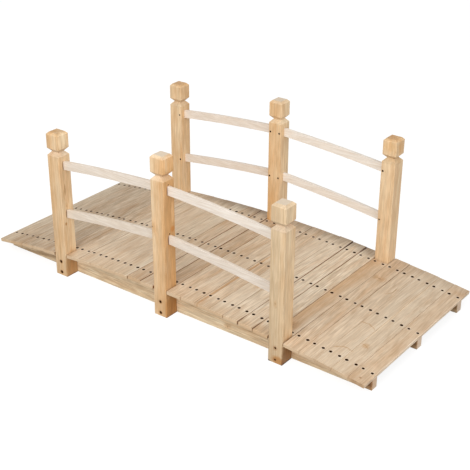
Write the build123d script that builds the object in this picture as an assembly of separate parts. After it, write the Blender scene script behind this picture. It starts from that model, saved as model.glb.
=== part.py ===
from build123d import *
import math
import os

os.makedirs("parts", exist_ok=True)

# A low wooden garden bridge with an arched deck. Cross boards are screwed down on three
# arched stringers that stand on the ground, and six grooved posts are screwed to the
# outer stringers. Two slender arched rails run from post to post on each side, with
# their ends let into mortises in the posts.
# The origin is on the ground under the middle of the deck. X runs along the walkway,
# Y across it and Z up. All sizes are in millimetres.

# Deck
bridge_length = 1500.0
deck_radius = 5340.0
deck_crown_height = 100.0
deck_width = 670.0
board_thickness = 11.0
board_gap = 1.3
board_arris = 1.0
bays = 2
ramps = 2
boards_per_bay = 7
boards_per_ramp = 5

# Stringers
stringer_thickness = 28.0
stringer_setback = 3.0

# Posts
post_width = 51.0
post_arris_radius = 2.0
middle_post_height = 550.0
end_post_height = 518.0
cap_height = 55.0
cap_chamfer = 8.0
groove_height = 25.0
groove_depth = 12.0

# Rails
rail_radius = 5300.0
rail_height = 29.0
rail_thickness = 11.0
tenon_length = 16.0
upper_rail_drop_middle = 113.0
upper_rail_drop_end = 113.0
lower_rail_drop_middle = 279.0
lower_rail_drop_end = 287.0

# Clearances
post_to_board_clearance = 3.0
short_board_clearance = 1.0
mortise_side_clearance = 0.3
mortise_top_clearance = 0.5
mortise_end_clearance = 1.0

# Boards: the full ones share the run along the arc that the post slots leave
post_slot = post_width + 2 * post_to_board_clearance
post_slots = bays + 1
full_boards = bays * boards_per_bay + ramps * boards_per_ramp
gaps_between_full_boards = full_boards - bays - ramps
deck_run = 2 * deck_radius * math.asin(bridge_length / 2 / deck_radius)
board_width = (deck_run - post_slots * post_slot - gaps_between_full_boards * board_gap) / full_boards
board_pitch = board_width + board_gap
short_board_width = post_slot - 2 * board_gap
short_board_length = deck_width - 2 * post_width - 2 * short_board_clearance

# Places of the posts and stringers
post_spacing_along_arc = boards_per_bay * board_pitch - board_gap + post_slot
arc_centre_height = deck_crown_height - deck_radius
seat_radius = deck_radius - board_thickness
stringer_length = bridge_length - 2 * stringer_setback
post_x = deck_radius * math.sin(post_spacing_along_arc / deck_radius)
post_y = (deck_width - post_width) / 2
outer_stringer_y = post_y - (post_width + stringer_thickness) / 2

sides = {"near": -1, "far": 1}
rail_drops = {
    "upper": (upper_rail_drop_middle, upper_rail_drop_end),
    "lower": (lower_rail_drop_middle, lower_rail_drop_end),
}


def on_deck(run):
    """Frame on the walking surface, at a run along the arc from its crown."""
    angle = math.degrees(run / deck_radius)
    return Pos(0, 0, arc_centre_height) * Rot(0, angle, 0) * Pos(0, 0, deck_radius)


def board(width, length):
    """Cross board with its upper face on the local XY plane and its upper long edges eased."""
    plank = Box(width, length, board_thickness, align=(Align.CENTER, Align.CENTER, Align.MAX))
    upper_long_edges = plank.faces().sort_by(Axis.Z)[-1].edges().filter_by(Axis.Y)
    return chamfer(upper_long_edges, board_arris)


def board_runs():
    """Run along the arc of every full board on the right half of the deck."""
    first_in_bay = (post_slot + board_width) / 2
    first_in_ramp = post_spacing_along_arc + first_in_bay
    bay = [first_in_bay + step * board_pitch for step in range(boards_per_bay)]
    ramp = [first_in_ramp + step * board_pitch for step in range(boards_per_ramp)]
    return bay + ramp


def deck_boards():
    """All boards from left to right. A short one lies between each pair of posts."""
    full_runs = board_runs()
    full_runs += [-run for run in full_runs]
    laid = [(run, board_width, deck_width) for run in full_runs]
    short_runs = (-post_spacing_along_arc, 0, post_spacing_along_arc)
    laid += [(run, short_board_width, short_board_length) for run in short_runs]
    return [on_deck(run) * board(width, length) for run, width, length in sorted(laid)]


def stringer():
    """Bearer with a level foot and an arched top edge that carries the boards."""
    blank = Rectangle(stringer_length, deck_crown_height, align=(Align.CENTER, Align.MIN))
    arch = Pos(0, arc_centre_height) * Circle(seat_radius)
    return extrude(Plane.XZ * (blank & arch), stringer_thickness / 2, both=True)


def post_outline(height):
    """Front view of a post: shaft, V-groove and cap with a chamfered top."""
    half_width = post_width / 2
    groove_upper_edge = height - cap_height
    right_side = [
        (half_width, 0),
        (half_width, groove_upper_edge - groove_height),
        (half_width - groove_depth, groove_upper_edge - groove_height / 2),
        (half_width, groove_upper_edge),
        (half_width, height - cap_chamfer),
        (half_width - cap_chamfer, height),
    ]
    left_side = [(-x, z) for x, z in reversed(right_side)]
    return make_face(Polyline(*right_side, *left_side, close=True))


def post_blank(height):
    """Square post without mortises. The outline is cut from both directions."""
    outline = post_outline(height)
    from_the_front = extrude(Plane.XZ * outline, post_width / 2, both=True)
    from_the_side = extrude(Plane.YZ * outline, post_width / 2, both=True)
    timber = extrude(RectangleRounded(post_width, post_width, post_arris_radius), height)
    return timber & from_the_front & from_the_side


def rail_line(level):
    """Centre line of the rail in the right bay, from the middle post's face to the end post's."""
    drop_at_middle, drop_at_end = rail_drops[level]
    start = (post_width / 2, middle_post_height - drop_at_middle)
    finish = (post_x - post_width / 2, end_post_height - drop_at_end)
    return Plane.XZ * RadiusArc(start, finish, rail_radius)


def tenon_frames(level):
    """Frames on the faces of the middle and end post, with Z along the rail into the post and Y up."""
    line = rail_line(level)
    into_middle = Plane(origin=line @ 0, x_dir=(0, -1, 0), z_dir=-(line % 0))
    into_end = Plane(origin=line @ 1, x_dir=(0, 1, 0), z_dir=line % 1)
    return into_middle, into_end


def rail(level):
    """Slat for the right bay, bowed between the posts and running straight into its mortises."""
    section = Rectangle(rail_thickness, rail_height)
    into_middle, into_end = tenon_frames(level)
    bowed = sweep(into_middle * section, path=rail_line(level))
    middle_tenon = extrude(into_middle * section, tenon_length)
    end_tenon = extrude(into_end * section, tenon_length)
    return bowed + middle_tenon + end_tenon


def mortise(frame):
    """Pocket for one rail end. The rail rests on its floor."""
    width = rail_thickness + 2 * mortise_side_clearance
    height = rail_height + mortise_top_clearance
    opening = Pos(0, mortise_top_clearance / 2) * Rectangle(width, height)
    return extrude(frame * opening, tenon_length + mortise_end_clearance, both=True)


def middle_post():
    """Tallest post, with mortises on both sides."""
    post = post_blank(middle_post_height)
    for level in rail_drops:
        pocket = mortise(tenon_frames(level)[0])
        post -= pocket
        post -= mirror(pocket, about=Plane.YZ)
    return post


def right_end_post():
    """Shorter post at the right end of the railing, with mortises on its inner side."""
    post = Pos(post_x, 0, 0) * post_blank(end_post_height)
    for level in rail_drops:
        post -= mortise(tenon_frames(level)[1])
    return post


def deck_nodes():
    """Numbered boards and the three stringers below them."""
    nodes = {f"deck_board_{number:02d}": plank for number, plank in enumerate(deck_boards(), start=1)}
    nodes["stringer_centre"] = stringer()
    for side, sign in sides.items():
        nodes[f"stringer_{side}"] = Pos(0, sign * outer_stringer_y, 0) * stringer()
    return nodes


def railing_nodes():
    """Posts and rails of both sides. The left half of a side mirrors its right half."""
    nodes = {}
    centre_post = middle_post()
    right_half = {"post": right_end_post()}
    for level in rail_drops:
        right_half[f"{level}_rail"] = rail(level)
    for side, sign in sides.items():
        to_side = Pos(0, sign * post_y, 0)
        nodes[f"post_{side}_middle"] = to_side * centre_post
        for piece, shape in right_half.items():
            nodes[f"{piece}_{side}_right"] = to_side * shape
            nodes[f"{piece}_{side}_left"] = to_side * mirror(shape, about=Plane.YZ)
    return nodes


for name, shape in (deck_nodes() | railing_nodes()).items():
    export_step(shape, f"parts/{name}.step")
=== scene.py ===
import math
import random

import bmesh
import bpy
import numpy as np
from mathutils import Matrix, Vector


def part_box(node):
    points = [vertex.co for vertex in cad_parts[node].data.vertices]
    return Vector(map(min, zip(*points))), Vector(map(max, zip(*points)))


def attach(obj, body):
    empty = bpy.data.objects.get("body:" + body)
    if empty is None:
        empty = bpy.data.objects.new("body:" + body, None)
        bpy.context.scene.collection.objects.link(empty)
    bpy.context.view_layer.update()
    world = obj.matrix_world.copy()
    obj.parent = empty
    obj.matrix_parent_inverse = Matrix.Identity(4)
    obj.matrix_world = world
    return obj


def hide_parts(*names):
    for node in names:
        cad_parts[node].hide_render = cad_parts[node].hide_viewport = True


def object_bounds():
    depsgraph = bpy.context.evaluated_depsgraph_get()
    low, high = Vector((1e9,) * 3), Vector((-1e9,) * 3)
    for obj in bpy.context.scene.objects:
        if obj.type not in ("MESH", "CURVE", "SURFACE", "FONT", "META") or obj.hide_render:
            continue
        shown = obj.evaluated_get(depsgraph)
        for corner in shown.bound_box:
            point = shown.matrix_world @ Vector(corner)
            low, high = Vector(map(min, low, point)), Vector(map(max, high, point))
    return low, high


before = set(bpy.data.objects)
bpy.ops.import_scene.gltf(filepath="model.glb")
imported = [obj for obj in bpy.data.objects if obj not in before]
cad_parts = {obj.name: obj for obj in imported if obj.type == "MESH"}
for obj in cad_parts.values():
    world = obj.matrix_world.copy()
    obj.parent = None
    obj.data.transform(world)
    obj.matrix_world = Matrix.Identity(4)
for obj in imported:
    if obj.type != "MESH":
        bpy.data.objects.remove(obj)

cad_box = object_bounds()
scene = bpy.context.scene
millimetre = 0.001


# Camera. The photograph was taken from beyond the right-hand end of the bridge, on its near
# side, with a long lens at about head height, looking down along the deck.
camera_place = Vector((1.8953, -2.4640, 1.7160))
camera_turn = math.radians(36.918)
camera_dip = math.radians(26.651)
camera_roll = math.radians(0.275)
camera_lens = 79.12

camera = bpy.data.objects.new("camera", bpy.data.cameras.new("camera"))
camera.data.lens = camera_lens
camera.matrix_world = (
    Matrix.Translation(camera_place)
    @ Matrix.Rotation(camera_turn, 4, "Z")
    @ Matrix.Rotation(math.pi / 2 - camera_dip, 4, "X")
    @ Matrix.Rotation(camera_roll, 4, "Z")
)
scene.collection.objects.link(camera)
scene.camera = camera


# Stringers. Three bearers of planed softwood stand on edge on the ground. Each is sawn to
# the arch along its upper edge, and the deck boards are screwed down on it.
stringer_sapwood = (0.905, 0.762, 0.548, 1)
stringer_heartwood = (0.800, 0.590, 0.370, 1)
stringer_sawn = (0.740, 0.640, 0.540, 1)
# Look of each stringer: warmth, contrast, greyness and blush
stringer_looks = {
    "stringer_near": (0.26, 1.3, 0.00, 0.1),
    "stringer_centre": (0.70, 0.8, 0.75, 0.0),
    "stringer_far": (0.70, 0.8, 0.60, 0.0),
}
sawn_arris = 0.8 * millimetre
arch_centre_height = -5.240
arch_radius = 5.329
# Marks that stand out on the stringers: place, reach and tint
stringer_marks = [
    ((0.747, -0.284, 0.020), (0.010, 0.030, 0.050), (1.02, 0.90, 0.79)),
    ((0.747, 0.000, 0.020), (0.010, 0.030, 0.050), (1.16, 1.14, 1.14)),
    ((0.700, -0.014, 0.020), (0.060, 0.010, 0.060), (0.88, 0.76, 0.66)),
    ((0.700, 0.270, 0.020), (0.060, 0.010, 0.060), (1.08, 0.94, 0.92)),
    # Painted shade on the near stringer under the end of the last board
    ((0.738, -0.286, 0.018), (0.030, 0.008, 0.035), (0.55, 0.45, 0.35)),
]
# Painted shade: below the boards a stringer is darker, and darker still at its ends. Each change
# runs between two depths below the arch, or between two places along it.
under_board_shade_tint = (0.93, 0.85, 0.76)
under_board_shade_fades = (0.022, 0.042)
end_shade_tint = (0.66, 0.58, 0.50)
left_end_band = ((0.035, 0.040), (0.044, 0.054))
left_end_starts = (-0.48, -0.44)
right_end_band = (0.020, 0.030)
right_end_starts = (0.56, 0.64)
end_face_starts = (0.742, 0.745)

# What each part of the figure multiplies the colour of softwood by, and the colour of knots
blush_tint = (1.0, 0.90, 0.83)
latewood_tint = (0.78, 0.62, 0.45)
pale_fibre_tint = (1.04, 1.05, 1.06)
dull_fibre_tint = (0.92, 0.88, 0.83)
bright_fleck_tint = (1.13, 1.14, 1.15)
dim_fleck_tint = (0.82, 0.79, 0.75)
light_patch_tint = (1.06, 1.06, 1.06)
dark_patch_tint = (0.84, 0.81, 0.77)
swung_fibre_tint = (0.84, 0.66, 0.46)
greying_tint = (0.66, 0.64, 0.61)
knot_colour = (0.20, 0.10, 0.045, 1)
# How strongly each part of the figure shows
streak_strength = 1.3
patch_strength = 0.75
latewood_strength = 0.6
swing_strength = 0.55
knot_strength = 0.7
sawn_strength = 0.80
# How fine the clouds are along the fibre and across it, as clouds to a metre
bend_fineness = (2.6, 9.0, 9.0)
fibre_fineness = (11.0, 620.0, 620.0)
fleck_fineness = (11.0, 250.0, 250.0)
streak_fineness = (1.5, 62.0, 62.0)
planed_roughness = (0.52, 0.70)
relief_height = 0.5 * millimetre
arc_raggedness = 0.40


def feed(socket, value):
    """Gives a socket a link or a value."""
    if isinstance(value, bpy.types.NodeSocket):
        socket.id_data.links.new(value, socket)
    else:
        socket.default_value = value


def add_node(kind, inputs, tree=None, **options):
    """Adds a node, sets its options and fills its sockets. It goes into the node tree that its
    links come from, unless another is given."""
    sources = [value.id_data for value in inputs.values() if isinstance(value, bpy.types.NodeSocket)]
    node = (tree or sources[0]).nodes.new(kind)
    for option, value in options.items():
        setattr(node, option, value)
    for label, value in inputs.items():
        feed(node.inputs[label], value)
    return node


def calculate(operation, *values):
    """Output of a Math node."""
    return add_node("ShaderNodeMath", dict(enumerate(values)), operation=operation).outputs[0]


def plus(first, second):
    """Sum of two values."""
    return calculate("ADD", first, second)


def minus(first, second):
    """Difference of two values."""
    return calculate("SUBTRACT", first, second)


def times(product, *factors):
    """Product of two or more values."""
    for factor in factors:
        product = calculate("MULTIPLY", product, factor)
    return product


def over(first, second):
    """First value divided by the second."""
    return calculate("DIVIDE", first, second)


def held(value):
    """Value kept between 0 and 1."""
    return calculate("MINIMUM", calculate("MAXIMUM", value, 0.0), 1.0)


def length_of(*sides):
    """Length of the diagonal of two sides."""
    return calculate("SQRT", plus(*(calculate("POWER", side, 2.0) for side in sides)))


def ramp(value, start, stop, low=0.0, high=1.0):
    """Value taken smoothly from low to high as it goes from start to stop."""
    inputs = {"Value": value, "From Min": start, "From Max": stop, "To Min": low, "To Max": high}
    return add_node("ShaderNodeMapRange", inputs, interpolation_type="SMOOTHSTEP").outputs[0]


def fall(value, start, stop):
    """Value taken smoothly from 1 to 0 as it goes from start to stop."""
    return ramp(value, start, stop, 1.0, 0.0)


def vector_maths(operation, *vectors, output="Vector"):
    """Output of a Vector Math node."""
    return add_node("ShaderNodeVectorMath", dict(enumerate(vectors)), operation=operation).outputs[output]


def scaled(vector, factors):
    """A vector times its three factors."""
    return vector_maths("MULTIPLY", vector, factors)


def parts_of(vector):
    """X, Y and Z of a vector."""
    return add_node("ShaderNodeSeparateXYZ", {0: vector}).outputs


def vector_of(**parts):
    """Vector with these parts along X, Y and Z."""
    return add_node("ShaderNodeCombineXYZ", parts).outputs[0]


def noise(vector, scale, detail, roughness=0.5, output=0):
    """Clouds that go from 0 to 1."""
    inputs = {"Vector": vector, "Scale": scale, "Detail": detail, "Roughness": roughness}
    return add_node("ShaderNodeTexNoise", inputs).outputs[output]


def noted(tree, name, output="Vector"):
    """What a piece's mesh notes under a name."""
    return add_node("ShaderNodeAttribute", {}, tree, attribute_name=name).outputs[output]


def place_on_object(tree):
    """Place in the shared frame, in metres."""
    return add_node("ShaderNodeTexCoord", {}, tree).outputs["Object"]


def blended(factor, first, second, mode="MIX"):
    """Colour that goes from the first to the second with a factor."""
    inputs = {"Factor": factor, "A": first, "B": second}
    return add_node("ShaderNodeMix", inputs, data_type="RGBA", blend_type=mode).outputs["Result"]


def tinted(colour, tint):
    """Colour multiplied by a tint."""
    return blended(1.0, colour, (*tint, 1), "MULTIPLY")


def tint_where(factor, colour, tint):
    """Colour that takes on a tint with a factor."""
    return blended(factor, colour, tinted(colour, tint))


def between_tints(factor, colour, first, second):
    """Colour whose tint goes from the first to the second with a factor."""
    return blended(factor, tinted(colour, first), tinted(colour, second))


def new_group(name, inputs, outputs, kind="ShaderNodeTree"):
    """Empty node group, and the values that enter it. Each input and output is given by its
    default, or by its type where it has none."""
    group = bpy.data.node_groups.new(name, kind)
    types = {float: "NodeSocketFloat", int: "NodeSocketInt", tuple: "NodeSocketVector"}
    for way, sockets in (("INPUT", inputs), ("OUTPUT", outputs)):
        for label, default in sockets.items():
            socket_type = types.get(type(default), default)
            socket = group.interface.new_socket(label, in_out=way, socket_type=socket_type)
            if socket_type != default:
                socket.default_value = default
    return group, group.nodes.new("NodeGroupInput").outputs


def knots_group():
    """Branch knots that run out from the pith, and the fibres that swing round them."""
    inputs = {"Timber": (0, 0, 0), "Spacing": 0.17, "Radius": 0.0028, "Share": 0.3}
    group, given = new_group("Knots", inputs, {"Knot": 0.0, "Swing": 0.0, "Timber": (0, 0, 0)})
    place = parts_of(given["Timber"])
    from_pith = length_of(place["Y"], place["Z"])
    angle = calculate("ARCTAN2", place["Z"], place["Y"])
    along = over(place["X"], given["Spacing"])
    even = {"Vector": vector_of(X=along, Y=angle), "Scale": 1.0, "Randomness": 0.7}
    cell = add_node("ShaderNodeTexVoronoi", even, voronoi_dimensions="2D").outputs
    border = add_node("ShaderNodeTexVoronoi", even, voronoi_dimensions="2D", feature="DISTANCE_TO_EDGE")
    centre = parts_of(cell["Position"])
    chance = add_node("ShaderNodeSeparateColor", {0: cell["Color"]}).outputs
    off_along = times(minus(along, centre["X"]), given["Spacing"])
    off_around = times(minus(angle, centre["Y"]), from_pith)
    present = calculate("LESS_THAN", chance["Red"], given["Share"])
    radius = times(given["Radius"], plus(chance["Green"], 0.5))
    edge = over(length_of(off_along, off_around), radius)
    knot = times(fall(edge, 0.7, 1.15), present)
    # The disturbed fibre reaches further along the board than across it.
    stretched = length_of(times(off_along, 0.42), off_around)
    swing = fall(over(stretched, radius), 0.4, 5.5)
    swing = times(swing, present, ramp(border.outputs[0], 0.02, 0.2))
    push = times(swing, radius, 2.4)
    stretch = plus(1.0, over(push, from_pith))
    pushed = scaled(given["Timber"], vector_of(X=1.0, Y=stretch, Z=stretch))
    add_node("NodeGroupOutput", {"Knot": knot, "Swing": swing, "Timber": pushed})
    return group


def figure_group():
    """Growth rings, fibre, flecks and broad streaks of planed softwood."""
    inputs = {"Timber": (0, 0, 0), "Ring width": 0.0031, "Wander": 0.016}
    outputs = {"Latewood": 0.0, "Fibre": 0.0, "Fleck": 0.0, "Streak": 0.0}
    group, given = new_group("Softwood figure", inputs, outputs)
    bend = noise(scaled(given["Timber"], bend_fineness), 1.0, 2.0, 0.45, "Color")
    shift = scaled(vector_maths("SUBTRACT", bend, (0.5, 0.5, 0.5)), given["Wander"])
    bent = vector_maths("ADD", given["Timber"], shift)
    from_pith = vector_maths("LENGTH", scaled(bent, (0.0, 1.0, 1.0)), output="Value")
    uneven = {"W": times(from_pith, 160.0), "Scale": 1.0, "Detail": 1.0}
    years = add_node("ShaderNodeTexNoise", uneven, noise_dimensions="1D").outputs[0]
    count = plus(over(from_pith, given["Ring width"]), times(years, 2.2))
    season = calculate("FRACT", count)
    year = add_node("ShaderNodeTexWhiteNoise", {"W": calculate("FLOOR", count)}, noise_dimensions="1D")
    late = times(ramp(season, 0.25, 0.90), fall(season, 0.91, 1.0))
    late = times(late, plus(times(year.outputs[0], 0.75), 0.25))
    fibre = noise(scaled(bent, fibre_fineness), 1.0, 3.0, 0.6)
    fleck = noise(scaled(bent, fleck_fineness), 1.0, 2.0, 0.6)
    streak = noise(scaled(bent, streak_fineness), 1.0, 2.0, 0.55)
    add_node("NodeGroupOutput", {"Latewood": late, "Fibre": fibre, "Fleck": fleck, "Streak": streak})
    return group


def patches_group():
    """Soft patches in which the timber turns warmer or darker."""
    inputs = {"Timber": (0, 0, 0), "Length": 0.11, "Width": 0.024}
    group, given = new_group("Colour patches", inputs, {"Warmth": 0.0, "Shade": 0.0})
    place = parts_of(given["Timber"])
    clouds = {}
    for label, finer, origin in (("Warmth", 1.0, 3.7), ("Shade", 2.1, 11.3)):
        along = over(times(place["X"], finer), given["Length"])
        across, deep = (over(times(place[axis], finer), given["Width"]) for axis in "YZ")
        spot = vector_of(X=plus(along, origin), Y=across, Z=deep)
        clouds[label] = ramp(noise(spot, 1.0, 3.0, 0.55), 0.28, 0.72)
    add_node("NodeGroupOutput", clouds)
    return group


def marks_group():
    """One mark on the object: a soft patch, and the dark arc of fibre that curls round it."""
    inputs = {"Point": (0, 0, 0), "Place": (0, 0, 0), "Reach": (0.02, 0.02, 0.02)}
    inputs |= {"Side": (0, 1, 0), "Ragged": 0.6}
    group, given = new_group("Mark", inputs, {"Patch": 0.0, "Arc": 0.0})
    away = vector_maths("SUBTRACT", given["Point"], given["Place"])
    away = vector_maths("DIVIDE", away, given["Reach"])
    torn = minus(noise(given["Point"], 70.0, 3.0), 0.5)
    distance = vector_maths("LENGTH", away, output="Value")
    distance = plus(distance, times(torn, given["Ragged"]))
    off_arc = calculate("ABSOLUTE", minus(distance, 1.0))
    towards = vector_maths("DOT_PRODUCT", away, given["Side"], output="Value")
    arc = times(fall(off_arc, 0.01, 0.09), ramp(towards, 0.55, 0.9))
    add_node("NodeGroupOutput", {"Patch": fall(distance, 0.45, 1.15), "Arc": arc})
    return group


knots = knots_group()
figure = figure_group()
patches = patches_group()
mark = marks_group()


def new_material(name):
    """Material with its node tree and its shader."""
    material = bpy.data.materials.new(name)
    material.use_nodes = True
    return material, material.node_tree, material.node_tree.nodes["Principled BSDF"]


def softwood(name, sapwood, heartwood, sawn_colour, knot_share=0.2):
    """Material of planed, untreated softwood, from pale sapwood to warmer heartwood."""
    material, tree, shader = new_material(name)
    timber, end_grain = noted(tree, "timber"), noted(tree, "end_grain", "Fac")
    look, blush = noted(tree, "tone", "Color"), noted(tree, "tone", "Alpha")
    warmth, contrast, greyness = add_node("ShaderNodeSeparateColor", {0: look}).outputs
    knot = add_node("ShaderNodeGroup", {"Timber": timber, "Share": knot_share}, node_tree=knots).outputs
    rings = add_node("ShaderNodeGroup", {"Timber": knot["Timber"]}, node_tree=figure)
    late, fibre, fleck, streak = rings.outputs
    cloud = add_node("ShaderNodeGroup", {"Timber": knot["Timber"]}, node_tree=patches).outputs

    # Streaks and patches drift between sapwood and heartwood.
    drift = times(minus(streak, 0.5), streak_strength)
    drift = plus(drift, times(minus(cloud["Warmth"], 0.5), patch_strength))
    depth = held(plus(warmth, times(drift, contrast)))
    colour = blended(depth, sapwood, heartwood)
    colour = tint_where(blush, colour, blush_tint)
    colour = tint_where(times(late, contrast, latewood_strength), colour, latewood_tint)
    colour = between_tints(ramp(fibre, 0.30, 0.70), colour, pale_fibre_tint, dull_fibre_tint)
    flecked = between_tints(ramp(fleck, 0.32, 0.68), colour, bright_fleck_tint, dim_fleck_tint)
    colour = blended(contrast, colour, flecked)
    clouded = between_tints(cloud["Shade"], colour, light_patch_tint, dark_patch_tint)
    colour = blended(contrast, colour, clouded)
    colour = tint_where(times(knot["Swing"], swing_strength), colour, swung_fibre_tint)
    colour = blended(times(knot["Knot"], knot_strength), colour, knot_colour)
    colour = tint_where(held(greyness), colour, greying_tint)
    colour = blended(end_grain, colour, blended(sawn_strength, colour, sawn_colour))
    feed(shader.inputs["Base Color"], colour)
    feed(shader.inputs["Roughness"], ramp(fibre, 0.2, 0.8, *planed_roughness))

    relief = plus(times(fibre, 0.6), times(late, 0.5))
    bump = add_node("ShaderNodeBump", {"Strength": 0.3, "Distance": relief_height, "Height": relief})
    feed(shader.inputs["Normal"], bump.outputs[0])
    return material


def recolour(material, change, *details, **more):
    """Passes a material's colour through a function that changes it in its node tree."""
    tree = material.node_tree
    coat = tree.nodes["Principled BSDF"].inputs["Base Color"]
    feed(coat, change(tree, coat.links[0].from_socket, *details, **more))


def marked(tree, colour, marks):
    """Timber with marks. Each is a patch with its place and reach in metres and the tint that
    it multiplies by, or an arc, which also has the side on which it lies."""
    point = place_on_object(tree)
    for place, reach, tint, *side in marks:
        inputs = {"Point": point, "Place": place, "Reach": reach}
        if side:
            inputs |= {"Side": side[0], "Ragged": arc_raggedness}
        node = add_node("ShaderNodeGroup", inputs, node_tree=mark)
        colour = tint_where(node.outputs["Arc" if side else "Patch"], colour, tint)
    return colour


def painted_shade_under_boards(tree, colour):
    """Stringer darkened with painted shade below the boards, most of all at its ends."""
    place = parts_of(place_on_object(tree))
    depth = minus(arch_radius, length_of(place["X"], minus(place["Z"], arch_centre_height)))
    colour = tint_where(fall(depth, *under_board_shade_fades), colour, under_board_shade_tint)
    band_starts, band_ends = left_end_band
    band = times(ramp(depth, *band_starts), fall(depth, *band_ends))
    colour = tint_where(times(fall(place["X"], *left_end_starts), band), colour, end_shade_tint)
    right_end = times(ramp(place["X"], *right_end_starts), fall(place["X"], *end_face_starts))
    right_end = times(right_end, fall(depth, *right_end_band))
    return tint_where(right_end, colour, end_shade_tint)


def cad_copy(node):
    """Welded copy of a CAD solid, with its flat faces rejoined."""
    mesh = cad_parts[node].data.copy()
    mesh.materials.clear()
    form = bmesh.new()
    form.from_mesh(mesh)
    bmesh.ops.remove_doubles(form, verts=form.verts, dist=0.001 * millimetre)
    bmesh.ops.dissolve_limit(form, angle_limit=math.radians(0.5), verts=form.verts, edges=form.edges)
    form.to_mesh(mesh)
    form.free()
    return mesh


def new_piece(name, mesh, material):
    """Object in the scene that carries a mesh of one material."""
    piece = bpy.data.objects.new(name, mesh)
    piece.data.materials.append(material)
    scene.collection.objects.link(piece)
    return piece


def ease_edges(piece, width):
    """Rounds the sharp edges as sandpaper does."""
    bevel = piece.modifiers.new("eased edges", "BEVEL")
    bevel.width = width
    bevel.segments = 3
    bevel.limit_method = "ANGLE"
    bevel.angle_limit = math.radians(40)


def made_plain(piece):
    """Replaces a piece's modifiers by the mesh that they give."""
    mesh = bpy.data.meshes.new_from_object(piece.evaluated_get(bpy.context.evaluated_depsgraph_get()))
    piece.modifiers.clear()
    piece.data = mesh


def settle(piece):
    """Applies the modifiers and shades the eased edges softly beside faces that stay flat."""
    made_plain(piece)
    piece.data.shade_smooth()
    piece.data.set_sharp_from_angle(angle=math.radians(35))
    flat_faces = piece.modifiers.new("flat faces", "WEIGHTED_NORMAL")
    flat_faces.keep_sharp = True
    made_plain(piece)


def points_of(mesh):
    """Places of a mesh's vertices."""
    points = np.empty(len(mesh.vertices) * 3, np.float32)
    mesh.vertices.foreach_get("co", points)
    return points.reshape(-1, 3)


def note(mesh, name, kind, domain, values):
    """Notes values on a mesh's points or faces under a name, for its material."""
    field = {"FLOAT": "value", "FLOAT_VECTOR": "vector", "FLOAT_COLOR": "color"}[kind]
    mesh.attributes.new(name, kind, domain).data.foreach_set(field, np.array(values, np.float32).ravel())


def lay_grain(piece, along, across, middle, look, warmer=(0, 0, 0), greyer=(0, 0, 0),
              pith_depth=(0.045, 0.11), lean=0.045):
    """Notes where each point lies in the log: along the fibre, and across it from the pith.
    The look is warmth, contrast, greyness and blush in the middle, each from 0 to 1. Warmer and
    greyer are their change over a metre along, across and square to the piece's face."""
    mesh = piece.data
    chance = random.Random(piece.name)
    axes = np.array([along, across, along.cross(across)])
    local = (points_of(mesh) - np.array(middle)) @ axes.T
    looks = np.tile(np.array(look, np.float32), (len(local), 1))
    looks[:, 0] += local @ np.array(warmer)
    looks[:, 2] += local @ np.array(greyer)
    local[:, 1] += local[:, 0] * chance.uniform(-lean, lean)
    local[:, 2] += local[:, 0] * chance.uniform(-lean, lean)
    side, depth = chance.uniform(0, 2 * math.pi), chance.uniform(*pith_depth)
    pith = np.array((chance.uniform(1, 40), math.cos(side) * depth, math.sin(side) * depth))
    note(mesh, "timber", "FLOAT_VECTOR", "POINT", local + pith)
    note(mesh, "tone", "FLOAT_COLOR", "POINT", looks)
    # A face that looks along the fibre is end grain.
    ends = [min(max(abs(face.normal.dot(along)) * 3 - 1.9, 0), 1) for face in mesh.polygons]
    note(mesh, "end_grain", "FLOAT", "FACE", ends)


def hand_over(piece, node):
    """The piece stands for its CAD node."""
    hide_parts(node)
    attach(piece, "root")


def lay_lengthwise(node, material, arris, look):
    """Makes a timber that runs along the bridge from its CAD solid."""
    piece = new_piece(f"{node}_timber", cad_copy(node), material)
    ease_edges(piece, arris)
    settle(piece)
    low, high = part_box(node)
    lay_grain(piece, Vector((1, 0, 0)), Vector((0, 1, 0)), (low + high) / 2, look)
    hand_over(piece, node)


stringer_wood = softwood("Stringer softwood", stringer_sapwood, stringer_heartwood, stringer_sawn)
recolour(stringer_wood, marked, stringer_marks)
# Painted shade on the stringers below the boards
recolour(stringer_wood, painted_shade_under_boards)

for node, look in stringer_looks.items():
    lay_lengthwise(node, stringer_wood, sawn_arris, look)


# Deck boards. Planed boards of untreated softwood, cut to length and laid edge to edge
# across the stringers. Two dark screws, sunk below the surface, hold each board on each one.
board_count = 27
board_sapwood = (0.800, 0.680, 0.525, 1)
board_heartwood = (0.640, 0.440, 0.260, 1)
board_sawn = (0.720, 0.530, 0.340, 1)
board_knot_share = 0.06
# Painted shade on the sides of the boards in open joints
joint_shade_tint = (0.50, 0.31, 0.18)
# Painted shade greys the far ends of the boards; stain and painted shade brown their near ends
far_end_shade_tint = (0.58, 0.55, 0.52)
near_end_stain_and_shade_tint = (0.76, 0.64, 0.50)
board_arris = 0.6 * millimetre
joint_in_drawing = 1.3 * millimetre
board_screw_spacing = 30.6 * millimetre
board_screw_row_spacing = 270 * millimetre
board_screw_radius = 4.4 * millimetre
board_screw_depth = 1.7 * millimetre
screw_colour = (0.030, 0.010, 0.002, 1)
worn_screw = (0.060, 0.022, 0.006, 1)
# Crushed fibre darkened with painted shade, for the walls of the screw holes
crushed_and_shaded_fibre = (0.070, 0.024, 0.006, 1)
shaded_fibre = (0.035, 0.014, 0.004, 1)
raised_fibre = (0.86, 0.76, 0.62, 1)
raised_fibre_share = 0.5
# A screw's head, the bars that cut the cross-shaped drive into its top, and its hole, which
# reaches from above the face to below the head's top. Bare values are shares of the head's radius.
head_thickness = 1.4 * millimetre
drive_bar_height = 1.6 * millimetre
drive_length = 1.15
drive_width = 0.26
hole_below_top = 1.6 * millimetre
hole_above_face = 0.5 * millimetre
hole_foot = 1.04
hole_mouth = 1.24
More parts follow.
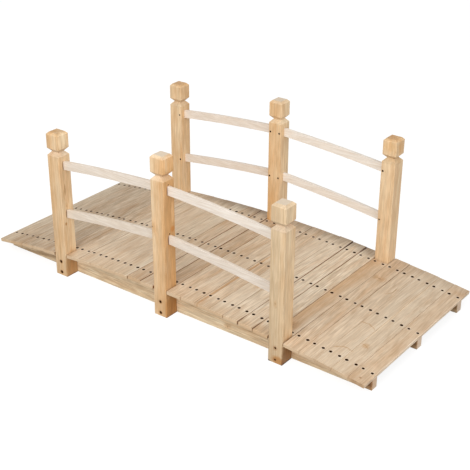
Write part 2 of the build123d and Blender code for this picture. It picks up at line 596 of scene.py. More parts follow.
# Range of the screws' sizes, and how many flat sides stand for their round
screw_sizes = (0.88, 1.06)
facets = 12

# Range of looks of the boards, and how much greyer they are over a metre along. The greying
# towards the far end is painted shade, for light that falls off away from the near side.
usual_warmth = (0.05, 0.28)
usual_contrast = (0.4, 0.7)
usual_blush = (0.0, 0.5)
usual_warm_edge = (-4, 4)
greyer_along = 0.3
# Looks of the boards that stand out, counted from the left: warmth, contrast, greyness, blush
# The greyness of boards 1 to 6, on the left ramp, is partly painted shade, for the light that falls off
# towards the left.
board_looks = {
    1: (0.02, 0.9, 0.38, 0.0), 2: (0.24, 0.9, 0.55, 0.2), 3: (0.22, 1.0, 0.64, 0.2),
    4: (0.10, 0.9, 0.48, 0.2), 5: (0.34, 0.9, 0.62, 0.2), 6: (0.50, 1.0, 0.28, 0.2),
    7: (0.18, 0.8, 0.00, 0.2), 8: (0.20, 0.7, 0.02, 0.2), 10: (0.24, 0.7, 0.05, 0.2),
    11: (0.16, 0.6, 0.00, 0.0), 12: (0.44, 0.7, 0.14, 0.3), 13: (0.24, 0.6, 0.18, 0.3),
    14: (0.55, 0.7, 0.30, 0.4), 15: (0.40, 0.7, 0.00, 0.3), 16: (0.28, 0.6, 0.05, 0.3),
    17: (0.26, 0.8, 0.00, 0.3), 19: (0.06, 0.8, 0.00, 0.1), 20: (0.06, 0.8, 0.00, 0.1),
    21: (0.06, 0.9, 0.00, 0.1), 22: (0.78, 0.5, 0.06, 0.3), 23: (0.28, 0.7, 0.16, 0.5),
    24: (0.10, 0.7, 0.22, 0.5), 25: (0.12, 0.5, 0.24, 0.3), 26: (0.15, 0.5, 0.26, 0.3),
    27: (0.35, 0.6, 0.14, 0.4),
}
# One board is warm at its left edge and pale at its right: change in warmth over a metre across
warm_edged_board = 22
warm_edge = -22
# Joints on the right of these boards: width at the near and at the far end, in millimetres
joints = {
    5: (0.6, 1.2), 6: (0.3, 0.7), 7: (1.6, 1.2), 11: (1.4, 1.2), 12: (3.0, 2.6), 13: (2.0, 4.4),
    14: (1.4, 1.7), 15: (0.4, 0.8), 16: (0.7, 1.8), 17: (0.7, 0.7), 18: (1.0, 0.8), 19: (0.9, 3.6),
    20: (1.4, 2.4), 21: (1.6, 0.9), 22: (1.5, 0.3), 23: (0.3, 1.4), 24: (0.3, 0.4), 25: (0.4, 0.6),
    26: (0.5, 0.6),
}
usual_joint = (0.3, 0.8)
# Joint width in millimetres at which its sides get the full painted shade
fully_shaded_joint = 2.0
# How far these boards' ends stand proud of the rest: near and far, in millimetres
board_ends = {
    5: (2.0, 0.0), 8: (1.0, 0.0), 10: (1.5, 0.0), 11: (1.8, 0.0), 12: (-1.5, 0.5), 13: (2.4, 0.0),
    15: (1.6, 0.0), 18: (1.4, 0.0), 19: (0.0, 2.4), 20: (-1.2, -1.5), 21: (0.8, -3.0), 27: (0.0, 0.0),
}
end_play = (-1.6, 0.6)
# How much the ends of these boards are darkened: brown at the near end, which is partly stain and
# partly painted shade, and grey at the far end, which is painted shade
end_stain_and_shade = {
    1: (0.3, 0.5), 2: (0.6, 0.4), 3: (0.3, 0.4), 8: (0.2, 0.6), 9: (0.2, 0.9), 10: (0.3, 1.0),
    11: (0.3, 1.0), 12: (0.6, 1.0), 13: (0.2, 1.0), 14: (0.5, 0.0), 15: (0.1, 0.8), 16: (0.2, 0.9),
    17: (0.4, 0.7), 18: (0.5, 1.0), 19: (0.3, 1.0), 20: (0.5, 1.2), 21: (0.7, 1.3), 24: (0.0, 0.3),
    27: (0.4, 0.2),
}
usual_end_stain_and_shade = (0.15, 0.25)
# The darkening sets in between these places along a board, and its edge wanders
near_end_span = (-0.26, -0.335)
far_end_span = (0.27, 0.335)
end_span_wander = 0.09
end_span_fineness = (14.0, 55.0, 55.0)
# Marks that stand out on the deck: place, reach and tint. Those with a side as well are curls
# of dark fibre.
curl_tint = (0.82, 0.69, 0.56)
deck_marks = [
    ((0.150, -0.12, 0.09), (0.006, 0.30, 0.03), (0.80, 0.62, 0.44)),
    ((0.3340, 0.00, 0.09), (0.120, 0.60, 0.06), (1.07, 1.08, 1.10)),
    # Painted highlight along the lit edge of the joint right of board 25
    ((0.6415, 0.02, 0.06), (0.004, 0.40, 0.05), (1.14, 1.13, 1.10)),
    ((0.7510, 0.00, 0.04), (0.005, 0.50, 0.03), (1.25, 1.30, 1.38)),
    ((0.3065, 0.33, 0.09), (0.005, 0.07, 0.03), (0.34, 0.24, 0.16)),
    ((0.3620, 0.33, 0.09), (0.006, 0.05, 0.03), (0.34, 0.24, 0.16)),
    ((0.3060, -0.33, 0.09), (0.003, 0.05, 0.03), (0.42, 0.30, 0.20)),
    ((0.3615, -0.33, 0.09), (0.003, 0.05, 0.03), (0.42, 0.30, 0.20)),
    ((0.6580, -0.1720, 0.06), (0.0120, 0.0160, 0.1), (0.88, 0.78, 0.66)),
    # Painted shade on the near ends of the ramp's last boards
    ((0.7250, -0.3405, 0.046), (0.040, 0.008, 0.03), (0.52, 0.42, 0.32)),
    ((0.6150, -0.3405, 0.065), (0.110, 0.009, 0.06), (0.80, 0.76, 0.72)),
    ((0.7230, -0.3120, 0.052), (0.0045, 0.0045, 0.03), (0.62, 0.50, 0.42)),
    ((0.6256, -0.2577, 0.06), (0.0366, 0.0366, 0.1), curl_tint, (-0.35, 0.94, 0)),
    ((0.6050, -0.1100, 0.06), (0.0400, 0.0400, 0.1), curl_tint, (0.1, 1.0, 0)),
    ((0.6500, -0.1900, 0.06), (0.0200, 0.0200, 0.1), curl_tint, (0.4, 0.9, 0)),
    ((0.5420, 0.1500, 0.07), (0.0300, 0.0400, 0.1), curl_tint, (0.9, -0.3, 0)),
]


def screw_material(name, colour, worn_colour):
    """Blackened or rusted steel, a little uneven."""
    material, tree, shader = new_material(name)
    uneven = noise(place_on_object(tree), 900.0, 2.0)
    feed(shader.inputs["Base Color"], blended(ramp(uneven, 0.55, 0.75), colour, worn_colour))
    feed(shader.inputs["Roughness"], ramp(uneven, 0.3, 0.7, 0.50, 0.72))
    feed(shader.inputs["Specular IOR Level"], 0.02)
    return material


def pit_material(name, light, dark):
    """Crushed fibre on the wall of a screw hole, darkened with painted shade."""
    material, tree, shader = new_material(name)
    torn = noise(place_on_object(tree), 1600.0, 3.0)
    feed(shader.inputs["Base Color"], blended(ramp(torn, 0.35, 0.7), light, dark))
    feed(shader.inputs["Roughness"], 0.85)
    feed(shader.inputs["Specular IOR Level"], 0.05)
    bump = add_node("ShaderNodeBump", {"Strength": 0.6, "Distance": 0.4 * millimetre, "Height": torn})
    feed(shader.inputs["Normal"], bump.outputs[0])
    return material


def moved(shape, place, turn=(0, 0, 0)):
    """Shape moved to a place and turned."""
    inputs = {"Geometry": shape, "Translation": place, "Rotation": turn}
    return add_node("GeometryNodeTransform", inputs).outputs[0]


def drawn(seed, low, high, kind):
    """Value or vector drawn at random for each screw."""
    inputs = {"Min": low, "Max": high, "Seed": seed}
    return add_node("FunctionNodeRandomValue", inputs, data_type=kind).outputs["Value"]


def cut_away(shape, *cutters):
    """Shape with others cut out of it."""
    whole = add_node("GeometryNodeMeshBoolean", {"Mesh 1": shape}, operation="DIFFERENCE", solver="EXACT")
    for cutter in cutters:
        feed(whole.inputs["Mesh 2"], cutter)
    return whole.outputs["Mesh"]


def screw_hole(head_radius, sunk, lining):
    """Hole that narrows a little towards the head that it was driven down with."""
    depth = plus(sunk, hole_below_top)
    hole = add_node("GeometryNodeMeshCone", {
        "Vertices": facets,
        "Radius Bottom": times(head_radius, hole_foot),
        "Radius Top": times(head_radius, hole_mouth),
        "Depth": plus(depth, hole_above_face),
    }).outputs["Mesh"]
    hole = moved(hole, vector_of(Z=times(depth, -1.0)))
    return add_node("GeometryNodeSetMaterial", {"Geometry": hole, "Material": lining}).outputs[0]


def screw_head(head_radius, sunk):
    """Flat round head with a cross-shaped drive, noted as steel."""
    head = add_node("GeometryNodeMeshCylinder", {
        "Vertices": facets, "Radius": head_radius, "Depth": head_thickness}).outputs["Mesh"]
    arm, slim = times(head_radius, drive_length), times(head_radius, drive_width)
    bars = []
    for length, width in ((arm, slim), (slim, arm)):
        size = vector_of(X=length, Y=width, Z=drive_bar_height)
        bar = add_node("GeometryNodeMeshCube", {"Size": size}).outputs["Mesh"]
        bars.append(moved(bar, (0, 0, head_thickness / 2)))
    head = moved(cut_away(head, *bars), vector_of(Z=times(plus(sunk, head_thickness / 2), -1.0)))
    inputs = {"Geometry": head, "Name": "steel", "Value": True}
    return add_node("GeometryNodeStoreNamedAttribute", inputs, data_type="BOOLEAN", domain="FACE").outputs[0]


def sunk_screws_tree():
    """Geometry Nodes that sink a grid of screws into a face. The grid faces local +Z."""
    inputs = {
        "Geometry": "NodeSocketGeometry",
        "Columns": 2, "Rows": 3, "Column spacing": 0.03, "Row spacing": 0.27,
        "Place": (0, 0, 0), "Turn": "NodeSocketRotation",
        "Head radius": 0.003, "Sunk": 0.0009, "Play": 0.0006, "Seed": 0,
        "Lining": "NodeSocketMaterial", "Finish": "NodeSocketMaterial",
    }
    tree, given = new_group("Sunk screws", inputs, {"Geometry": "NodeSocketGeometry"}, "GeometryNodeTree")
    grid = add_node("GeometryNodeMeshGrid", {
        "Size X": times(minus(given["Columns"], 1.0), given["Column spacing"]),
        "Size Y": times(minus(given["Rows"], 1.0), given["Row spacing"]),
        "Vertices X": given["Columns"],
        "Vertices Y": given["Rows"],
    }).outputs["Mesh"]
    reach = vector_of(X=given["Play"], Y=given["Play"])
    drift = drawn(given["Seed"], scaled(reach, (-1, -1, 0)), reach, "FLOAT_VECTOR")
    places = add_node("GeometryNodeSetPosition", {"Geometry": grid, "Offset": drift}).outputs[0]
    turned = drawn(given["Seed"], (0, 0, 0), (0, 0, math.pi), "FLOAT_VECTOR")
    size = drawn(given["Seed"], *screw_sizes, "FLOAT")
    hole = screw_hole(given["Head radius"], given["Sunk"], given["Lining"])
    head = screw_head(given["Head radius"], given["Sunk"])
    in_place = []
    for shape, rotation in ((hole, (0, 0, 0)), (head, turned)):
        inputs = {"Points": places, "Instance": shape, "Rotation": rotation, "Scale": size}
        many = add_node("GeometryNodeInstanceOnPoints", inputs).outputs[0]
        in_place.append(moved(many, given["Place"], given["Turn"]))
    holes, heads = in_place
    holes = add_node("GeometryNodeRealizeInstances", {"Geometry": holes}).outputs[0]
    joined = add_node("GeometryNodeJoinGeometry", {"Geometry": heads})
    feed(joined.inputs["Geometry"], cut_away(given["Geometry"], holes))
    whole = add_node("GeometryNodeRealizeInstances", {"Geometry": joined.outputs[0]}).outputs[0]
    steel = add_node("GeometryNodeInputNamedAttribute", {"Name": "steel"}, tree, data_type="BOOLEAN")
    inputs = {"Geometry": whole, "Selection": steel.outputs["Attribute"], "Material": given["Finish"]}
    whole = add_node("GeometryNodeSetMaterial", inputs).outputs[0]
    add_node("NodeGroupOutput", {"Geometry": whole})
    return tree


sunk_screws = sunk_screws_tree()
black_screw = screw_material("Blackened screw", screw_colour, worn_screw)
crushed_and_shaded_hole = pit_material("Crushed screw hole", crushed_and_shaded_fibre, shaded_fibre)


def sink_screws(piece, lining=crushed_and_shaded_hole, finish=black_screw, **values):
    """Adds the screws to a piece as a modifier, with its inputs set by their labels."""
    values |= {"lining": lining, "finish": finish}
    modifier = piece.modifiers.new("sunk screws", "NODES")
    modifier.node_group = sunk_screws
    for item in sunk_screws.interface.items_tree:
        label = item.name.lower().replace(" ", "_")
        if item.in_out == "INPUT" and label in values:
            modifier[item.identifier] = values[label]


def seat_of(node):
    """Frame in the middle of a board's upper face, and the board's size in it."""
    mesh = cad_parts[node].data
    up = max(mesh.polygons, key=lambda face: face.area * face.normal.z).normal.copy()
    along = Vector((0, 1, 0))
    across = along.cross(up).normalized()
    turn = Matrix((across, along, up)).transposed()
    corners = [turn.transposed() @ vertex.co for vertex in mesh.vertices]
    low = Vector(min(corner[axis] for corner in corners) for axis in range(3))
    high = Vector(max(corner[axis] for corner in corners) for axis in range(3))
    middle = turn @ Vector(((low.x + high.x) / 2, (low.y + high.y) / 2, high.z))
    return Matrix.Translation(middle) @ turn.to_4x4(), high - low


def board_blank(size, left_joint, right_joint, proud):
    """Board in its own frame, sawn a little out of true, between joints that open or close."""
    half = {
        (side, end): (size.x + joint_in_drawing) / 2 - joint[end > 0] * millimetre / 2
        for side, joint in ((-1, left_joint), (1, right_joint)) for end in (-1, 1)
    }
    lengths = {end: size.y / 2 + proud[end > 0] * millimetre for end in (-1, 1)}
    form = bmesh.new()
    bmesh.ops.create_cube(form, size=2)
    for vertex in form.verts:
        side, end = round(vertex.co.x), round(vertex.co.y)
        vertex.co = Vector((side * half[side, end], end * lengths[end], (vertex.co.z - 1) / 2 * size.z))
    mesh = bpy.data.meshes.new("board")
    form.to_mesh(mesh)
    form.free()
    return mesh


def mark_bench(piece, middle=(0, 0, 0), across=(1, 0, 0), up=(0, 1, 0)):
    """Notes each point's place on the face that its screws are driven into."""
    axes = np.array([across, up, (0, 0, 0)])
    note(piece.data, "bench", "FLOAT_VECTOR", "POINT", (points_of(piece.data) - np.array(middle)) @ axes.T)


def shade_joints(piece, left_joint, right_joint):
    """Notes the faces that look into an open joint, which are darkened with painted shade."""
    faces = piece.data.polygons
    shade_shares = [min(max(joint) / fully_shaded_joint, 1) for joint in (left_joint, right_joint)]
    values = [min(max(abs(face.normal.x) * 1.6 - 0.35, 0), 1) * shade_shares[face.normal.x > 0] for face in faces]
    note(piece.data, "flank", "FLOAT", "FACE", values)


def note_end_darkening(piece, near, far):
    """Notes the darkening of a board's ends: stain and painted shade near, painted shade far."""
    note(piece.data, "stains", "FLOAT_VECTOR", "POINT", [(near, far, 0)] * len(piece.data.vertices))


def with_darkened_ends(tree, colour):
    """Board browned at its near end by stain and painted shade, greyed at its far end and dark in its joints
    by painted shade.
    """
    near, far, _ = parts_of(noted(tree, "stains"))
    uneven_edge = noise(scaled(noted(tree, "timber"), end_span_fineness), 1.0, 3.0)
    wander = times(minus(uneven_edge, 0.5), end_span_wander)
    along = plus(parts_of(noted(tree, "bench"))["Y"], wander)
    far_end = times(ramp(along, *far_end_span), calculate("MINIMUM", far, 1.0))
    colour = tint_where(far_end, colour, far_end_shade_tint)
    near_end = times(ramp(along, *near_end_span), near)
    colour = tint_where(near_end, colour, near_end_stain_and_shade_tint)
    # Painted shade on the sides of the boards in the joints
    return tint_where(noted(tree, "flank", "Fac"), colour, joint_shade_tint)


def raised_fibre_group():
    """Pale fibre that the screws have lifted round their holes."""
    inputs = {
        "Bench": (0, 0, 0), "Half column": 0.015, "Row spacing": 0.27,
        "Row shift": 0.0, "Reach": 1.0, "Hole radius": 0.0036,
    }
    group, given = new_group("Raised fibre", inputs, {"Mask": 0.0})
    place = parts_of(given["Bench"])
    off_column = minus(calculate("ABSOLUTE", place["X"]), given["Half column"])
    shifted = plus(place["Y"], given["Row shift"])
    row = calculate("ROUND", over(shifted, given["Row spacing"]))
    off_row = minus(shifted, times(row, given["Row spacing"]))
    ragged = noise(given["Bench"], 420.0, 2.0)
    distance = over(length_of(off_column, off_row), given["Hole radius"])
    distance = plus(distance, times(ragged, 0.8))
    near = calculate("LESS_THAN", calculate("ABSOLUTE", place["Y"]), given["Reach"])
    add_node("NodeGroupOutput", {"Mask": times(fall(distance, 1.5, 2.6), near)})
    return group


lifted = raised_fibre_group()


def fibre_lifted(tree, colour, fibre_colour, **values):
    """Timber with disturbed fibre round its screws."""
    inputs = {label.replace("_", " ").capitalize(): value for label, value in values.items()}
    inputs["Bench"] = noted(tree, "bench")
    mask = add_node("ShaderNodeGroup", inputs, node_tree=lifted).outputs["Mask"]
    return blended(times(mask, raised_fibre_share), colour, fibre_colour)


board_wood = softwood("Deck softwood", board_sapwood, board_heartwood, board_sawn, board_knot_share)
recolour(board_wood, marked, deck_marks)
# Ends darkened by stain and painted shade, joint sides by painted shade
recolour(board_wood, with_darkened_ends)
recolour(board_wood, fibre_lifted, raised_fibre, half_column=board_screw_spacing / 2,
         row_spacing=board_screw_row_spacing)

# No board lies beyond the first and the last, and their outer edges stay where they are drawn.
outer_joint = (joint_in_drawing / millimetre,) * 2
# The outer sides of the first and last boards get no painted joint shade
no_joint_shade = (0, 0)
left_joint = outer_joint
for number in range(1, board_count + 1):
    node = f"deck_board_{number:02d}"
    first, last = number == 1, number == board_count
    chance = random.Random(number)
    width = chance.uniform(*usual_joint)
    right_joint = outer_joint if last else joints.get(number, (width, width))
    seat, size = seat_of(node)
    proud = board_ends.get(number, (chance.uniform(*end_play), chance.uniform(*end_play)))
    piece = new_piece(f"{node}_timber", board_blank(size, left_joint, right_joint, proud), board_wood)
    ease_edges(piece, board_arris)
    sink_screws(piece, column_spacing=board_screw_spacing, row_spacing=board_screw_row_spacing,
                head_radius=board_screw_radius, sunk=board_screw_depth, seed=number)
    settle(piece)
    warmth, contrast = chance.uniform(*usual_warmth), chance.uniform(*usual_contrast)
    look = (warmth, contrast, 0.0, chance.uniform(*usual_blush))
    warmer = warm_edge if number == warm_edged_board else chance.uniform(*usual_warm_edge)
    lay_grain(piece, Vector((0, 1, 0)), Vector((1, 0, 0)), (0, 0, 0), board_looks.get(number, look),
              (0, warmer, 0), (greyer_along, 0, 0))
    mark_bench(piece)
    shade_joints(piece, no_joint_shade if first else left_joint, no_joint_shade if last else right_joint)
    left_joint = right_joint
    note_end_darkening(piece, *end_stain_and_shade.get(number, usual_end_stain_and_shade))
    piece.data.transform(seat)
    hand_over(piece, node)


# Posts. Square softwood posts stand on the ground outside the outer stringers. A V-groove
# is turned round each one below its cap. Screws hold it to the stringer at its foot, and
# others, from the walkway side, hold the rail ends in it.
post_sapwood = (0.880, 0.700, 0.470, 1)
post_heartwood = (0.760, 0.450, 0.195, 1)
post_sawn = (0.760, 0.640, 0.500, 1)
post_knot_share = 0.15
post_arris = 0.6 * millimetre
post_pith_depth = (0.02, 0.06)
post_lean = 0.02
# Warmth and greyness on the front, the same on the right side, and then contrast and blush
post_looks = {
    "post_near_left": ((0.48, 0.16), (0.26, 0.06), 0.55, 0.1),
    "post_near_middle": ((0.50, 0.07), (0.95, 0.26), 0.50, 0.3),
    "post_near_right": ((0.08, 0.54), (0.20, 0.12), 0.5, 0.2),
    "post_far_left": ((0.34, 0.05), (0.50, -0.05), 0.55, 0.0),
    "post_far_middle": ((0.60, -0.04), (0.30, -0.04), 0.55, 0.0),
    "post_far_right": ((0.14, 0.08), (0.22, -0.22), 0.55, 0.2),
}
# Change in warmth and in greyness over a metre upwards. The posts grow warmer and darker towards
# their feet, which is painted shade near the floor.
warmer_upwards = -0.2
greyer_upwards = -0.5
# How the tops of the caps differ from the rest: how much warmer and greyer, and whether they
# are handled so smooth that the end grain no longer shows
cap_looks = {
    "post_near_left": (0.35, 0.45, True),
    "post_near_middle": (-0.60, -0.05, False),
    "post_near_right": (0.00, 0.20, False),
    "post_far_left": (0.35, 0.45, True),
    "post_far_middle": (0.00, 0.40, False),
    "post_far_right": (0.35, 0.55, True),
}
# How far down from the top these reach
cap_top = 4 * millimetre
handled_cap_top = 12 * millimetre
# Marks that stand out on the posts: place, reach and tint
post_marks = [
    ((0.4458, 0.3095, 0.493), (0.045, 0.045, 0.042), (0.92, 0.80, 0.64)),
    ((-0.4458, 0.3095, 0.493), (0.045, 0.045, 0.042), (0.93, 0.88, 0.82)),
    ((0.4458, 0.3095, 0.445), (0.045, 0.045, 0.016), (0.80, 0.76, 0.68)),
    ((-0.4458, 0.3095, 0.445), (0.045, 0.045, 0.016), (0.88, 0.87, 0.86)),
    ((0.4458, -0.3095, 0.445), (0.045, 0.045, 0.016), (0.89, 0.90, 0.96)),
    ((-0.4458, -0.3095, 0.445), (0.045, 0.045, 0.016), (0.91, 0.92, 0.98)),
    ((0.0000, -0.3095, 0.477), (0.045, 0.045, 0.016), (1.00, 1.07, 1.18)),
    ((0.0000, 0.3095, 0.477), (0.045, 0.045, 0.016), (1.00, 1.05, 1.10)),
    ((0.0255, -0.3095, 0.525), (0.006, 0.035, 0.034), (1.25, 1.32, 1.44)),
    ((-0.4203, -0.3095, 0.492), (0.006, 0.035, 0.034), (1.14, 1.19, 1.24)),
    ((0.0255, -0.294, 0.355), (0.012, 0.008, 0.050), (1.25, 1.35, 1.55)),
    ((0.0255, -0.296, 0.303), (0.012, 0.010, 0.012), (0.92, 0.70, 0.45)),
    ((0.4571, -0.335, 0.012), (0.026, 0.012, 0.018), (0.80, 0.58, 0.35)),
    # Painted shade along the feet of the near posts, where they meet the floor
    ((0.4713, -0.3095, -0.001), (0.008, 0.050, 0.006), (0.18, 0.13, 0.08)),
    ((0.4203, -0.3350, -0.001), (0.014, 0.008, 0.007), (0.16, 0.12, 0.08)),
    ((0.0255, -0.3095, -0.001), (0.006, 0.050, 0.005), (0.40, 0.30, 0.20)),
    ((-0.4203, -0.3095, -0.001), (0.006, 0.050, 0.005), (0.45, 0.35, 0.25)),
    ((-0.4203, -0.3217, 0.1965), (0.010, 0.005, 0.007), (0.66, 0.48, 0.30)),
    ((-0.4203, -0.3165, 0.319), (0.003, 0.003, 0.026), (0.62, 0.50, 0.38)),
]
# The feet are darker where the deck keeps the light off them
foot_tints = {-0.4203: (0.78, 0.62, 0.44), 0.0255: (0.78, 0.65, 0.45), 0.4713: (0.52, 0.38, 0.24)}
for face, tint in foot_tints.items():
    post_marks.append(((face, -0.305, 0.020), (0.006, 0.05, 0.075), tint))
# Painted shadow darkens the wood along the near edge of these mortises, where the gap beside the
# rail end lies in shade
for face, heights in ((-0.4203, (0.405, 0.231)), (0.0255, (0.437, 0.271))):
    for height in heights:
        post_marks.append(((face, -0.3165, height), (0.004, 0.0036, 0.019), (0.30, 0.19, 0.10)))
foot_screw_height = 32 * millimetre
foot_screw_spacing = 40 * millimetre
foot_screw_depth = 1.6 * millimetre
foot_screw_radius = 4.8 * millimetre
slim_foot_screws = {"post_near_right": 3.3 * millimetre}
rail_screw_heights = {
    "middle": (437 * millimetre, 271 * millimetre),
    "end": (405 * millimetre, 231 * millimetre),
}
rail_screw_from_edge = 7 * millimetre
rail_screw_depth = 0.8 * millimetre
rail_screw_radius = 2.9 * millimetre
rust = (0.36, 0.16, 0.05, 1)
rusted_screw = screw_material("Rusted screw", (0.150, 0.055, 0.012, 1), (0.240, 0.105, 0.025, 1))
rusted_hole = pit_material("Rusted screw hole", (0.300, 0.140, 0.040, 1), (0.150, 0.062, 0.016, 1))
# Two stray holes in the right side of one post
post_with_stray_holes = "post_near_middle"
stray_hole_heights = (456 * millimetre, 290 * millimetre)
stray_hole_radius = 1.9 * millimetre
stray_hole_depth = 3 * millimetre
stray_hole_from_middle = 1.5 * millimetre
first_rail_screw_seed = 10
stray_hole_seed = 30


def tone_cap(piece, top, warmer, greyer, handled):
    """Changes the look of the top of a cap, which hands and weather have worn."""
    mesh = piece.data
    tones = np.empty(len(mesh.vertices) * 4, np.float32)
    mesh.attributes["tone"].data.foreach_get("color", tones)
    tones = tones.reshape(-1, 4)
    tones[points_of(mesh)[:, 2] > top - cap_top] += (warmer, 0, greyer, 0)
    mesh.attributes["tone"].data.foreach_set("color", tones.ravel())
    for face, end_grain in zip(mesh.polygons, mesh.attributes["end_grain"].data):
        if handled and face.center.z > top - handled_cap_top:
            end_grain.value = 0


post_wood = softwood("Post softwood", post_sapwood, post_heartwood, post_sawn, post_knot_share)
recolour(post_wood, marked, post_marks)
recolour(post_wood, fibre_lifted, rust, half_column=0.0, row_spacing=foot_screw_spacing,
         row_shift=foot_screw_spacing / 2, reach=foot_screw_spacing, hole_radius=foot_screw_radius)

for seed, (node, (front, right, contrast, blush)) in enumerate(post_looks.items()):
    low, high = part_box(node)
    middle = (low + high) / 2
    half_width = (high.x - low.x) / 2
    outward = math.copysign(1, middle.y)
    outer_face, inner_face = (high.y, low.y) if outward > 0 else (low.y, high.y)
    piece = new_piece(f"{node}_timber", cad_copy(node), post_wood)
    ease_edges(piece, post_arris)
    sink_screws(piece, rusted_hole, rusted_screw, columns=1, rows=2, row_spacing=foot_screw_spacing,
                head_radius=slim_foot_screws.get(node, foot_screw_radius), sunk=foot_screw_depth,
                place=(middle.x, outer_face, foot_screw_height),
                turn=(-outward * math.pi / 2, 0, 0), seed=seed)
    in_middle = node.endswith("middle")
    upper, lower = rail_screw_heights["middle" if in_middle else "end"]
    half_spread = half_width - rail_screw_from_edge
    towards_bay = 0 if in_middle else -math.copysign(half_spread, middle.x)
    sink_screws(piece, columns=2 if in_middle else 1, rows=2, column_spacing=2 * half_spread,
                row_spacing=upper - lower, head_radius=rail_screw_radius, sunk=rail_screw_depth,
                place=(middle.x + towards_bay, inner_face, (upper + lower) / 2),
                turn=(outward * math.pi / 2, 0, 0), seed=first_rail_screw_seed + seed)
    if node == post_with_stray_holes:
        upper, lower = stray_hole_heights
        sink_screws(piece, columns=2, rows=1, column_spacing=upper - lower,
                    head_radius=stray_hole_radius, sunk=stray_hole_depth,
                    place=(high.x, middle.y - stray_hole_from_middle, (upper + lower) / 2),
                    turn=(0, math.pi / 2, 0), seed=stray_hole_seed)
    settle(piece)
    (front_warmth, front_grey), (right_warmth, right_grey) = front, right
    look = ((front_warmth + right_warmth) / 2, contrast, (front_grey + right_grey) / 2, blush)
    warmer = (right_warmth - front_warmth) / 2 / half_width
    greyer = (right_grey - front_grey) / 2 / half_width
    lay_grain(piece, Vector((0, 0, 1)), Vector((1, 0, 0)), middle, look, (warmer_upwards, warmer, warmer),
              (greyer_upwards, greyer, greyer), post_pith_depth, post_lean)
    tone_cap(piece, high.z, *cap_looks[node])
    mark_bench(piece, middle=(middle.x, 0, foot_screw_height), up=(0, 0, 1))
    hand_over(piece, node)


# Rails. Two slender bowed slats in each bay, planed smooth and nearly white. Their ends
# sit in mortises in the posts, each held by one screw from the walkway side.
rail_sapwood = (0.90, 0.84, 0.77, 1)
rail_heartwood = (0.83, 0.71, 0.58, 1)
rail_sawn = (0.80, 0.72, 0.62, 1)
rail_knot_share = 0.05
rail_arris = 0.9 * millimetre
usual_rail_look = (0.22, 0.26, 0.03, 0.2)
rail_looks = {
    "lower_rail_near_left": (0.66, 0.32, 0.10, 0.0),
    "lower_rail_near_right": (0.28, 0.32, 0.18, 0.2),
    "upper_rail_near_left": (0.38, 0.32, 0.08, 0.1),
    "upper_rail_near_right": (0.05, 0.32, 0.06, 0.2),
    "upper_rail_far_right": (0.00, 0.22, 0.00, 0.0),
    "lower_rail_far_right": (0.00, 0.22, 0.00, 0.0),
}
rail_wood = softwood("Rail softwood", rail_sapwood, rail_heartwood, rail_sawn, rail_knot_share)

rails = [f"{level}_rail_{side}_{end}" for level in ("upper", "lower")
         for side in ("near", "far") for end in ("left", "right")]
for node in rails:
    lay_lengthwise(node, rail_wood, rail_arris, rail_looks.get(node, usual_rail_look))


# Floor and light. A plain white studio floor keeps a soft shadow. One large soft lamp hangs
# in front, a weak broad one fills from the right, and the white room does the rest.
floor_size = 30
floor_grey = (0.32, 0.32, 0.32, 1)
studio_white = (1.0, 1.0, 1.0, 1)
# The veil of white light that lies on the floor, and how far inside the bridge's outline it ends
floor_veil = 0.72
veil_strength = 1.15
veil_ends = (0.09, 0.065)
room_light = 0.47
key_place = Vector((0.6, -3.4, 2.5))
key_aim = Vector((0, 0, 0.2))
key_power = 102
key_size = 3.0
fill_direction = Vector((0.85, -0.25, 0.46))
fill_strength = 1.05
fill_breadth = math.radians(60)


def seen_directly(tree):
    """1 for rays from the camera, from gloss and through glass, and 0 for the rest."""
    rays = add_node("ShaderNodeLightPath", {}, tree).outputs
    bent = calculate("MAXIMUM", rays["Is Glossy Ray"], rays["Is Transmission Ray"])
    return calculate("MAXIMUM", rays["Is Camera Ray"], bent)


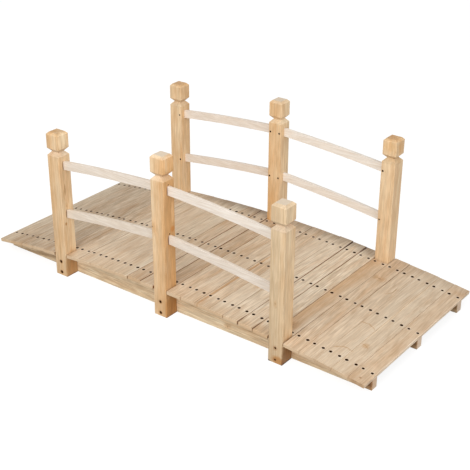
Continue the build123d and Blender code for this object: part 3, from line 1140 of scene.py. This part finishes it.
def floor_material():
    """Floor that lights the bridge as a grey one but looks white where no shadow falls. Under
    the bridge it stays grey, so it is dark where it shows between the boards."""
    material, tree, _ = new_material("Studio floor")
    tree.nodes.clear()
    place = parts_of(place_on_object(tree))
    outside = []
    for axis, limit in (("X", cad_box[1][0]), ("Y", cad_box[1][1])):
        start, stop = (limit - inside for inside in veil_ends)
        outside.append(ramp(calculate("ABSOLUTE", place[axis]), start, stop))
    open_floor = times(seen_directly(tree), calculate("MAXIMUM", *outside))
    paint = blended(open_floor, floor_grey, studio_white)
    matt = add_node("ShaderNodeBsdfDiffuse", {"Color": paint}).outputs[0]
    white = add_node("ShaderNodeEmission", {"Strength": veil_strength}, tree).outputs[0]
    veil = times(open_floor, floor_veil)
    both = add_node("ShaderNodeMixShader", {0: veil, 1: matt, 2: white}).outputs[0]
    add_node("ShaderNodeOutputMaterial", {"Surface": both})
    return material


half = floor_size / 2
floor_mesh = bpy.data.meshes.new("floor")
corners = [(-half, -half, 0), (half, -half, 0), (half, half, 0), (-half, half, 0)]
floor_mesh.from_pydata(corners, [], [(0, 1, 2, 3)])
floor = new_piece("floor", floor_mesh, floor_material())

room = bpy.data.worlds.new("white room")
scene.world = room
room.use_nodes = True
room_tree = room.node_tree
background = room_tree.nodes["Background"]
feed(background.inputs["Color"], studio_white)
lift = times(seen_directly(room_tree), 1 - room_light)
feed(background.inputs["Strength"], plus(lift, room_light))


def place_lamp(name, kind, place, aim, power, **options):
    """Lamp at a place that shines towards a point."""
    lamp = bpy.data.objects.new(name, bpy.data.lights.new(name, kind))
    lamp.data.energy = power
    for option, value in options.items():
        setattr(lamp.data, option, value)
    turn = (place - aim).to_track_quat("Z", "Y")
    lamp.matrix_world = Matrix.Translation(place) @ turn.to_matrix().to_4x4()
    scene.collection.objects.link(lamp)


place_lamp("key lamp", "AREA", key_place, key_aim, key_power, size=key_size)
place_lamp("fill lamp", "SUN", fill_direction, Vector(), fill_strength, angle=fill_breadth)

scene.view_settings.view_transform = "Standard"
